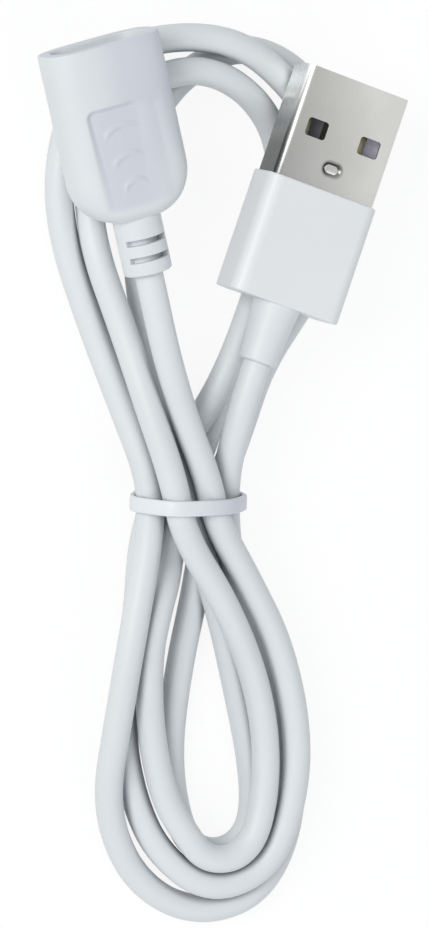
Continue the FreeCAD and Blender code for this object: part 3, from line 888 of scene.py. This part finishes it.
socket_build = bmesh.new()
bmesh.ops.create_circle(socket_build, cap_ends=False, segments=RING_POINTS, radius=1.0, matrix=laid_along_y)
row_w, row_h = body_halves(0.0)
for point in socket_build.verts:
    x_share = point.co.x
    z_share = max(1 - abs(x_share) ** OVAL_POWER, 0.0) ** (1 / OVAL_POWER)
    point.co = (row_w * x_share, 0.0, math.copysign(row_h * z_share, point.co.z))
row_edges = socket_build.edges[:]
print("ring of", len(row_edges), "edges, half size", round(row_w, 2), round(row_h, 2))

# %% Extrude the rows and close the back
PLAIN_ROWS = [1.2, 2.4, 3.6, 4.8, 6.0]
FINE_START = 6.3
FINE_STEP = 0.08
FINE_ROWS = 152
END_L = 1.0
END_ROWS = 12

backs = [SOCKET_RIM_R * (1 - math.cos(math.radians(angle))) for angle in (15, 30, 45, 60, 75, 90)]
backs += PLAIN_ROWS
backs += [FINE_START + FINE_STEP * step for step in range(FINE_ROWS)]
for step in range(1, END_ROWS + 1):
    backs.append(SOCKET_L - END_L + END_L * math.sin(math.pi / 2 * step / END_ROWS))
row_back = 0.0
for back in backs:
    half_w, half_h = body_halves(back)
    stretch = (half_w / row_w, 1.0, half_h / row_h)
    row_edges = next_row(socket_build, row_edges, stretch, (0.0, row_back - back, 0.0))[1]
    row_w, row_h, row_back = half_w, half_h, back
bmesh.ops.edgeloop_fill(socket_build, edges=row_edges)
print("connector rows", len(backs))

# %% [markdown]
# ## The oval connector: grip
#
# The grip is a shallow panel with a clear step at its front and left, fading out at the right and the
# back, and three bowed ribs for the thumb. Such low relief could be bump, but it has to be in the mesh to
# show at the edges, so the points of the upper face are pushed down and up by two smooth profiles.

# %% Profile of the panel
GRIP_HALF_W = 4.45
GRIP_FRONT = 6.45
GRIP_BACK = 18.2
GRIP_CORNER_R = 1.0
GRIP_DEPTH_FRONT = 0.5
GRIP_DEPTH_BACK = 0.2
GRIP_WALL = 0.7
GRIP_WALL_BACK = 0.8
GRIP_WALL_RIGHT = 2.2
GRIP_FADE_X = 0.5
GRIP_FADE_W = 3.0
GRIP_WALL_START = 0.15


def grip_depth(x, back):
    """Depth of the panel below the crowned face."""
    over_x = max(abs(x) - (GRIP_HALF_W - GRIP_CORNER_R), 0.0)
    half_l = (GRIP_BACK - GRIP_FRONT) / 2
    over_y = max(abs(back - GRIP_FRONT - half_l) - (half_l - GRIP_CORNER_R), 0.0)
    outside = math.hypot(over_x, over_y) - GRIP_CORNER_R
    share = limited((back - GRIP_FRONT) / (GRIP_BACK - GRIP_FRONT))
    to_right = ease((x - GRIP_FADE_X) / GRIP_FADE_W)
    wall = GRIP_WALL + GRIP_WALL_BACK * share + GRIP_WALL_RIGHT * to_right
    floor = GRIP_DEPTH_FRONT + (GRIP_DEPTH_BACK - GRIP_DEPTH_FRONT) * share
    return floor * ease(GRIP_WALL_START - outside / wall)


# %% Profile of the ribs, each with its apex behind the mouth, its span and its sag
RIBS = ((8.75, 4.6, 0.8), (11.9, 4.0, 0.85), (14.85, 2.8, 0.65))
RIB_X = -0.45
RIB_HALF_W = 0.5
RIB_TALL = 0.17
RIB_PAST = 0.6
RIB_END = 0.25
RIB_END_FADE = 0.6
RIB_RIGHT = 1.9
RIB_RIGHT_FADE = 1.6


def rib_height(x, back):
    """Height of the three bowed ribs above the panel, fading out to the right."""
    tall = 0.0
    x = x - RIB_X
    for apex, span, sag in RIBS:
        bow_r = (span * span / 4 + sag * sag) / (2 * sag)
        beside = abs(math.hypot(x, back - apex - bow_r) - bow_r) / RIB_HALF_W
        if beside < 1.0 and back < apex + sag + RIB_PAST:
            fade = ease((span / 2 + RIB_END - abs(x)) / RIB_END_FADE) * ease((RIB_RIGHT - x) / RIB_RIGHT_FADE)
            tall = max(tall, RIB_TALL * fade * (0.5 + 0.5 * math.cos(math.pi * beside)))
    return tall


# %% Press the grip into the upper face
upper_points = [v for v in socket_build.verts if v.co.z > 0.0 and -v.co.y > SOCKET_RIM_R]
for point in upper_points:
    point.co.z += rib_height(point.co.x, -point.co.y) - grip_depth(point.co.x, -point.co.y)
print("points of the upper face", len(upper_points))

# %% [markdown]
# ## The oval connector: mouth
#
# The mouth is a rounded slot for the device's own plug. A boolean could cut it, but would leave thin faces
# along so fine a ring. Instead the front ring is extruded on: inwards to the outline of the slot, over a
# soft lip, and down the slot to the end of the pocket that holds the inner pieces. Each point keeps its
# share of the way round.

# %% Outline of the slot
MOUTH_W = 10.7
MOUTH_H = 5.0
MOUTH_CORNER_R = 2.3
MOUTH_DEPTH = 6.0
POCKET_DEPTH = 15.0
MOUTH_LIP = 0.2


def mouth_quarter(share):
    """Point of the lip's outline at a share of the way from its right end to its top."""
    flat_w = MOUTH_W / 2 - MOUTH_CORNER_R
    flat_h = MOUTH_H / 2 - MOUTH_CORNER_R
    radius = MOUTH_CORNER_R + MOUTH_LIP
    arc = radius * math.pi / 2
    walked = share * (flat_h + arc + flat_w)
    if walked < flat_h:
        return flat_w + radius, walked
    if walked < flat_h + arc:
        turn = (walked - flat_h) / radius
        return flat_w + radius * math.cos(turn), flat_h + radius * math.sin(turn)
    return flat_h + arc + flat_w - walked, flat_h + radius


# %% Slot with a soft lip
front_w = body_halves(0.0)[0]
front_edges = [e for e in socket_build.edges if e.is_boundary]
mouth_points, mouth_edges = next_row(socket_build, front_edges)
for point in mouth_points:
    share = math.acos(min(abs(point.co.x) / front_w, 1.0)) / (math.pi / 2)
    mouth_x, mouth_z = mouth_quarter(share)
    point.co = (math.copysign(mouth_x, point.co.x), 0.0, math.copysign(mouth_z, point.co.z))
mouth_rows = []
for angle in (22.5, 45.0, 67.5, 90.0):
    over = math.radians(angle)
    mouth_rows.append((MOUTH_LIP * (1 - math.sin(over)), -MOUTH_LIP * (1 - math.cos(over))))
mouth_rows += [(0.0, -MOUTH_DEPTH), (0.0, -POCKET_DEPTH)]
row_grow, row_y = MOUTH_LIP, 0.0
for grow, y in mouth_rows:
    stretch_x = (MOUTH_W / 2 + grow) / (MOUTH_W / 2 + row_grow)
    stretch_z = (MOUTH_H / 2 + grow) / (MOUTH_H / 2 + row_grow)
    stretch = (stretch_x, 1.0, stretch_z)
    mouth_points, mouth_edges = next_row(socket_build, mouth_edges, stretch, (0.0, y - row_y, 0.0))
    row_grow, row_y = grow, y
bmesh.ops.edgeloop_fill(socket_build, edges=mouth_edges)
print("mouth rows", len(mouth_rows), "of", len(mouth_points), "points")

# %% [markdown]
# ## The oval connector: strain relief
#
# Behind the shoulders a round strain relief holds the cord, with two slots across its upper and lower
# sides that let it bend. Its section is spun like the collar's, with rows at the slots' edges. The faces
# between those rows are extruded and drawn in towards the cord.

# %% Section and spin of the strain relief
RELIEF_R = 2.65
RELIEF_START = 18.2
RELIEF_END = 25.5
RELIEF_RIM_R = 0.25
SLOT_AT = (21.8, 23.7)
SLOT_TALL = 0.65
SLOT_FLOOR_R = 1.85
SLOT_HALF_SPAN = 2.3

relief_section = [(RELIEF_R, -RELIEF_START), (RELIEF_R, -SOCKET_L)]
for slot_at in SLOT_AT:
    relief_section += [(RELIEF_R, -slot_at + SLOT_TALL / 2), (RELIEF_R, -slot_at - SLOT_TALL / 2)]
relief_section += rim_points(RELIEF_R, -RELIEF_END, RELIEF_RIM_R)
relief_section += [(BORE_R, -RELIEF_END), (BORE_R, -RELIEF_START)]
relief_build = bmesh.new()
turned(relief_build, relief_section, steps=120)
bmesh.ops.remove_doubles(relief_build, verts=relief_build.verts, dist=MERGE_DISTANCE)
bmesh.ops.recalc_face_normals(relief_build, faces=relief_build.faces)
print("strain relief", len(relief_build.faces), "faces")


# %% The slots
def in_slot(face):
    """True for an outer face where a slot is cut."""
    middle = face.calc_center_median()
    in_row = any(abs(-middle.y - slot_at) < SLOT_TALL / 2 for slot_at in SLOT_AT)
    return in_row and abs(middle.x) < SLOT_HALF_SPAN and math.hypot(middle.x, middle.z) > SLOT_FLOOR_R


slot_faces = [f for f in relief_build.faces if in_slot(f)]
slot_points = points_in(bmesh.ops.extrude_face_region(relief_build, geom=slot_faces)["geom"])
floor_scale = SLOT_FLOOR_R / RELIEF_R
bmesh.ops.scale(relief_build, verts=slot_points, vec=(floor_scale, 1.0, floor_scale))
bmesh.ops.delete(relief_build, geom=slot_faces, context="FACES")
print("slot points", len(slot_points))

# %% [markdown]
# The upper face of the connector takes painted shade, greyer and cooler from its middle to its right, and the
# slots take painted shade that makes them dark. Those places are kept as two factors on the points of the
# mesh, which the plastic reads.

# %% The two factors of painted shade
SHADE_X = -2.5
SHADE_W = 3.5
SHADE_BACK = 4.0
SHADE_L = 9.0
SHADE_Z = 0.5
SHADE_TALL = 2.0
FRONT_FACE = 0.06
SLOT_SHADE_R = 2.55
SLOT_SHADE_DEEP = 0.4
SLOT_SHADE_X = -1.2
SLOT_SHADE_W = 3.0
SLOT_SHADE_ENDS = 0.5


def panel_shade(x, y, z):
    """Painted shade: greyer in the grip, on the right of the upper face and on the front face."""
    if y > -FRONT_FACE:
        return 1.0
    in_grip = ease(grip_depth(x, -y) / GRIP_DEPTH_BACK)
    to_right = ease((x - SHADE_X) / SHADE_W) * ease((SOCKET_L - SHADE_BACK + y) / SHADE_L)
    return max(in_grip, to_right) * ease((z - SHADE_Z) / SHADE_TALL)


def slot_shade(x, y, z):
    """Painted shade: dark in the slots, and more so towards the right."""
    if not SOCKET_L + SLOT_SHADE_ENDS < -y < RELIEF_END - SLOT_SHADE_ENDS:
        return 0.0
    deep = ease((SLOT_SHADE_R - math.hypot(x, z)) / SLOT_SHADE_DEEP)
    return deep * ease((x - SLOT_SHADE_X) / SLOT_SHADE_W)


# %% Join, paint the shade factors and finish
relief_mesh = bpy.data.meshes.new("relief_part")
relief_build.to_mesh(relief_mesh)
relief_build.free()
socket_build.from_mesh(relief_mesh)
bpy.data.meshes.remove(relief_mesh)
panel_shade_layer = socket_build.verts.layers.float.new("panel")
slot_shade_layer = socket_build.verts.layers.float.new("slot")
for point in socket_build.verts:
    point[panel_shade_layer] = panel_shade(*point.co)
    point[slot_shade_layer] = slot_shade(*point.co)
oval_moulding = finish_piece("oval_moulding", socket_build, socket_frame, "soft_white", ["socket_overmould"])
oval_moulding.data.set_sharp_from_angle(angle=math.radians(48))

# %% [markdown]
# With the connector in place, the pieces that the cord carries at its far end are listed by name.

far_nodes = ["socket_insert", "socket_contact_power", "socket_contact_ground"]
far_nodes += ["socket_inner_mould", "socket_wire_power", "socket_wire_ground"]
print("cord declared with", 1 + len(far_nodes), "pieces at its far end")

# %% [markdown]
# ## Floor
#
# The photograph has a plain white ground. Lighting a floor until it is white would burn out the white
# plastics, so the floor shows white to the camera and in reflections, and is a plain pale surface to all
# other rays. A small share of the plain surface stays in view, and with it the shadow of the hank.

# %% What the camera sees
def seen_factor(tree):
    """Factor that is 1 for what the camera sees, straight or in a reflection."""
    ray = tree.nodes.new("ShaderNodeLightPath")
    seen = ray.outputs["Is Camera Ray"]
    for kind in ("Is Glossy Ray", "Is Transmission Ray"):
        either = tree.nodes.new("ShaderNodeMath")
        either.operation = "MAXIMUM"
        tree.links.new(seen, either.inputs[0])
        tree.links.new(ray.outputs[kind], either.inputs[1])
        seen = either.outputs["Value"]
    return seen


def show_mix(tree, factor, plain, seen, output):
    """Leads a mix of two shaders by a factor to the output of a tree."""
    node = tree.nodes.new("ShaderNodeMixShader")
    for index, source in enumerate((factor, plain, seen)):
        tree.links.new(source, node.inputs[index])
    tree.links.new(node.outputs["Shader"], tree.nodes[output].inputs["Surface"])


# %% A pale paint that shows as white
WHITE = (1.0, 1.0, 1.0, 1.0)
FLOOR_COLOUR = (0.82, 0.82, 0.82, 1.0)
FLOOR_ROUGHNESS = 0.9
FLOOR_GLOW_SHARE = 0.85
FLOOR_GLOW = 1.05

floor_tree, floor_shader = start_material("floor_paint")
floor_shader.inputs["Base Color"].default_value = FLOOR_COLOUR
floor_shader.inputs["Roughness"].default_value = FLOOR_ROUGHNESS
floor_shader.inputs["Specular IOR Level"].default_value = 0.0
floor_glow = floor_tree.nodes.new("ShaderNodeEmission")
floor_glow.inputs["Color"].default_value = WHITE
floor_glow.inputs["Strength"].default_value = FLOOR_GLOW
part_glow = floor_tree.nodes.new("ShaderNodeMath")
part_glow.operation = "MULTIPLY"
part_glow.inputs[1].default_value = FLOOR_GLOW_SHARE
floor_tree.links.new(seen_factor(floor_tree), part_glow.inputs[0])
plain, white = floor_shader.outputs["BSDF"], floor_glow.outputs["Emission"]
show_mix(floor_tree, part_glow.outputs["Value"], plain, white, "Material Output")

# %% The floor
FLOOR_HALF = 1.5

floor_mesh = bpy.data.meshes.new("floor")
floor_build = bmesh.new()
bmesh.ops.create_grid(floor_build, x_segments=4, y_segments=4, size=FLOOR_HALF)
floor_build.to_mesh(floor_mesh)
floor_build.free()
floor_mesh.materials.append(finishes["floor_paint"])
floor = add_object("floor", floor_mesh)
print("floor", tuple(floor.dimensions))

# %% [markdown]
# ## Light
#
# The photograph is lit from the upper left by something broad, with a weak fill from the right. Two area
# lights and an even sky do that. The sky shows as white behind the floor and in the metal, like the ground.

# %% Sky
SKY_COLOUR = (0.93, 0.97, 1.0, 1.0)
SKY_STRENGTH = 0.52

world = bpy.data.worlds.new("studio")
world.use_nodes = True
sky_tree = world.node_tree
sky = sky_tree.nodes["Background"]
sky.inputs["Color"].default_value = SKY_COLOUR
sky.inputs["Strength"].default_value = SKY_STRENGTH
white_sky = sky_tree.nodes.new("ShaderNodeBackground")
white_sky.inputs["Color"].default_value = WHITE
plain, white = sky.outputs["Background"], white_sky.outputs["Background"]
show_mix(sky_tree, seen_factor(sky_tree), plain, white, "World Output")
bpy.context.scene.world = world
print("sky strength", SKY_STRENGTH)


# %% Key and fill
def area_light(name, place, size, power, colour):
    """Square area light that looks at the part."""
    data = bpy.data.lights.new(name, "AREA")
    data.shape = "SQUARE"
    data.size = size
    data.energy = power
    data.color = colour
    light = add_object(name, data)
    light.location = place
    light.rotation_euler = (-Vector(place)).to_track_quat("-Z", "Y").to_euler()


area_light("key", place=(-1.05, 0.33, 1.02), size=0.7, power=10.1, colour=(1.0, 0.995, 0.98))
area_light("fill", place=(0.35, -0.95, 0.75), size=0.9, power=2.6, colour=(0.97, 0.98, 1.0))

# %% [markdown]
# ## Camera
#
# The camera stands where the photograph was taken from: its three axes and its scale were found from the
# plug's edges, and one seen point ties the picture to the part.

# %% Place the camera
VIEW_BACK = Vector((-0.396, 0.123, 0.910)).normalized()
SEEN_RIGHT = Vector((0.918, 0.026, 0.396))
VIEW_FAR = 600.0
PIXELS_PER_MM = 9.05
PICTURE = (428, 928)
SEEN_POINT = Vector((1.8, -3.1, 0.0))
SEEN_PIXEL = (195.0, 503.0)

view_right = (SEEN_RIGHT - VIEW_BACK * SEEN_RIGHT.dot(VIEW_BACK)).normalized()
view_up = VIEW_BACK.cross(view_right)
shift_x = (PICTURE[0] / 2 - SEEN_PIXEL[0]) / PIXELS_PER_MM
shift_y = (PICTURE[1] / 2 - SEEN_PIXEL[1]) / PIXELS_PER_MM
view_aim = SEEN_POINT + view_right * shift_x - view_up * shift_y
camera_data = bpy.data.cameras.new("camera")
camera_data.sensor_fit = "VERTICAL"
camera_data.sensor_height = 36.0
camera_data.lens = camera_data.sensor_height * VIEW_FAR * PIXELS_PER_MM / PICTURE[1]
camera_data.clip_start = 0.01
camera_data.clip_end = 20.0
camera = add_object("camera", camera_data)
turned_view = Matrix((view_right, view_up, VIEW_BACK)).transposed().to_4x4()
camera.matrix_world = Matrix.Translation((view_aim + VIEW_BACK * VIEW_FAR) * MM) @ turned_view
bpy.context.scene.camera = camera
bpy.context.scene.view_settings.view_transform = "Standard"
print("lens", round(camera_data.lens, 1), "mm")
